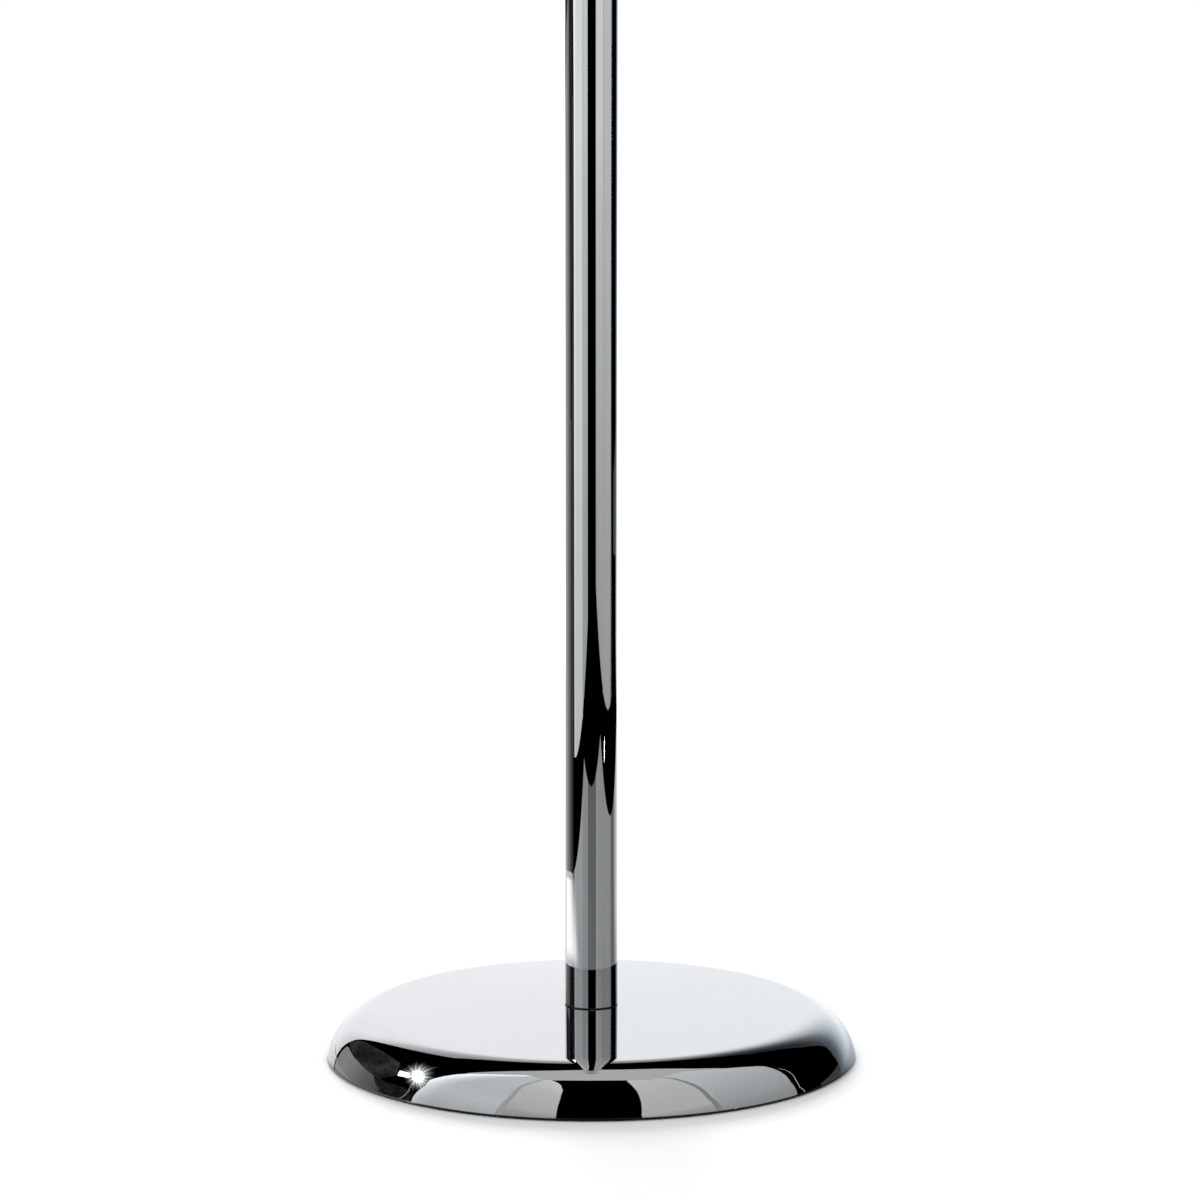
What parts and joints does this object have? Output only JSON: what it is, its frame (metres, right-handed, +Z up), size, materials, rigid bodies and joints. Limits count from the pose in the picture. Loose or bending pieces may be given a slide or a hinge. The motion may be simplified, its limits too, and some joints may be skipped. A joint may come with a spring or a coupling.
{
  "type": "rope barrier stanchion",
  "caption": "Free-standing rope barrier post: weighted round base under a spun cover, slim tube, ball top and a swivelling collar of rope eyes.",
  "frame": {"origin": "on the floor at the middle of the base", "axes": "+Z up the post; one rope eye points along +X at rest"},
  "size_m": [0.32, 0.32, 1],
  "materials": {
    "chrome_sheet": "bright chrome plate on spun sheet",
    "chrome_tube": "bright chrome plate on drawn tube",
    "chrome_turned": "bright chrome plate on turned steel",
    "chrome_cast": "bright chrome plate on a polished casting",
    "cast_weight": "black-dipped rough casting",
    "floor_rubber": "matt black rubber",
    "gasket_rubber": "matt black rubber",
    "zinc_steel": "bright zinc plate",
    "spring_steel": "dark oiled spring steel",
    "plain_steel": "plain turned steel",
    "nylon": "natural nylon",
    "insert_brass": "plain turned brass"
  },
  "bodies": {
    "post": {"base_cover": "chrome_sheet", "base_weight": "cast_weight", "floor_ring": "floor_rubber", "cover_support_disc": "plain_steel", "base_bolt": "zinc_steel", "plate_washer": "zinc_steel", "spring_washer": "spring_steel", "foot_gasket": "gasket_rubber", "foot_plug": "plain_steel", "post_tube": "chrome_tube", "neck_fitting": "chrome_turned", "lower_thrust_washer": "nylon", "upper_thrust_washer": "nylon", "disc_spring": "spring_steel", "finial_seat": "chrome_turned", "jam_nut": "zinc_steel", "head_stud": "zinc_steel", "ball_finial": "chrome_sheet", "ball_insert": "insert_brass"},
    "collar": {"rope_collar": "chrome_cast", "collar_bush": "nylon"}
  },
  "joints": [
    {"name": "collar_swivel", "type": "hinge", "parent": "post", "child": "collar", "pos_m": [0, 0, 0.9388], "axis": [0, 0, 1], "continuous": true}
  ]
}
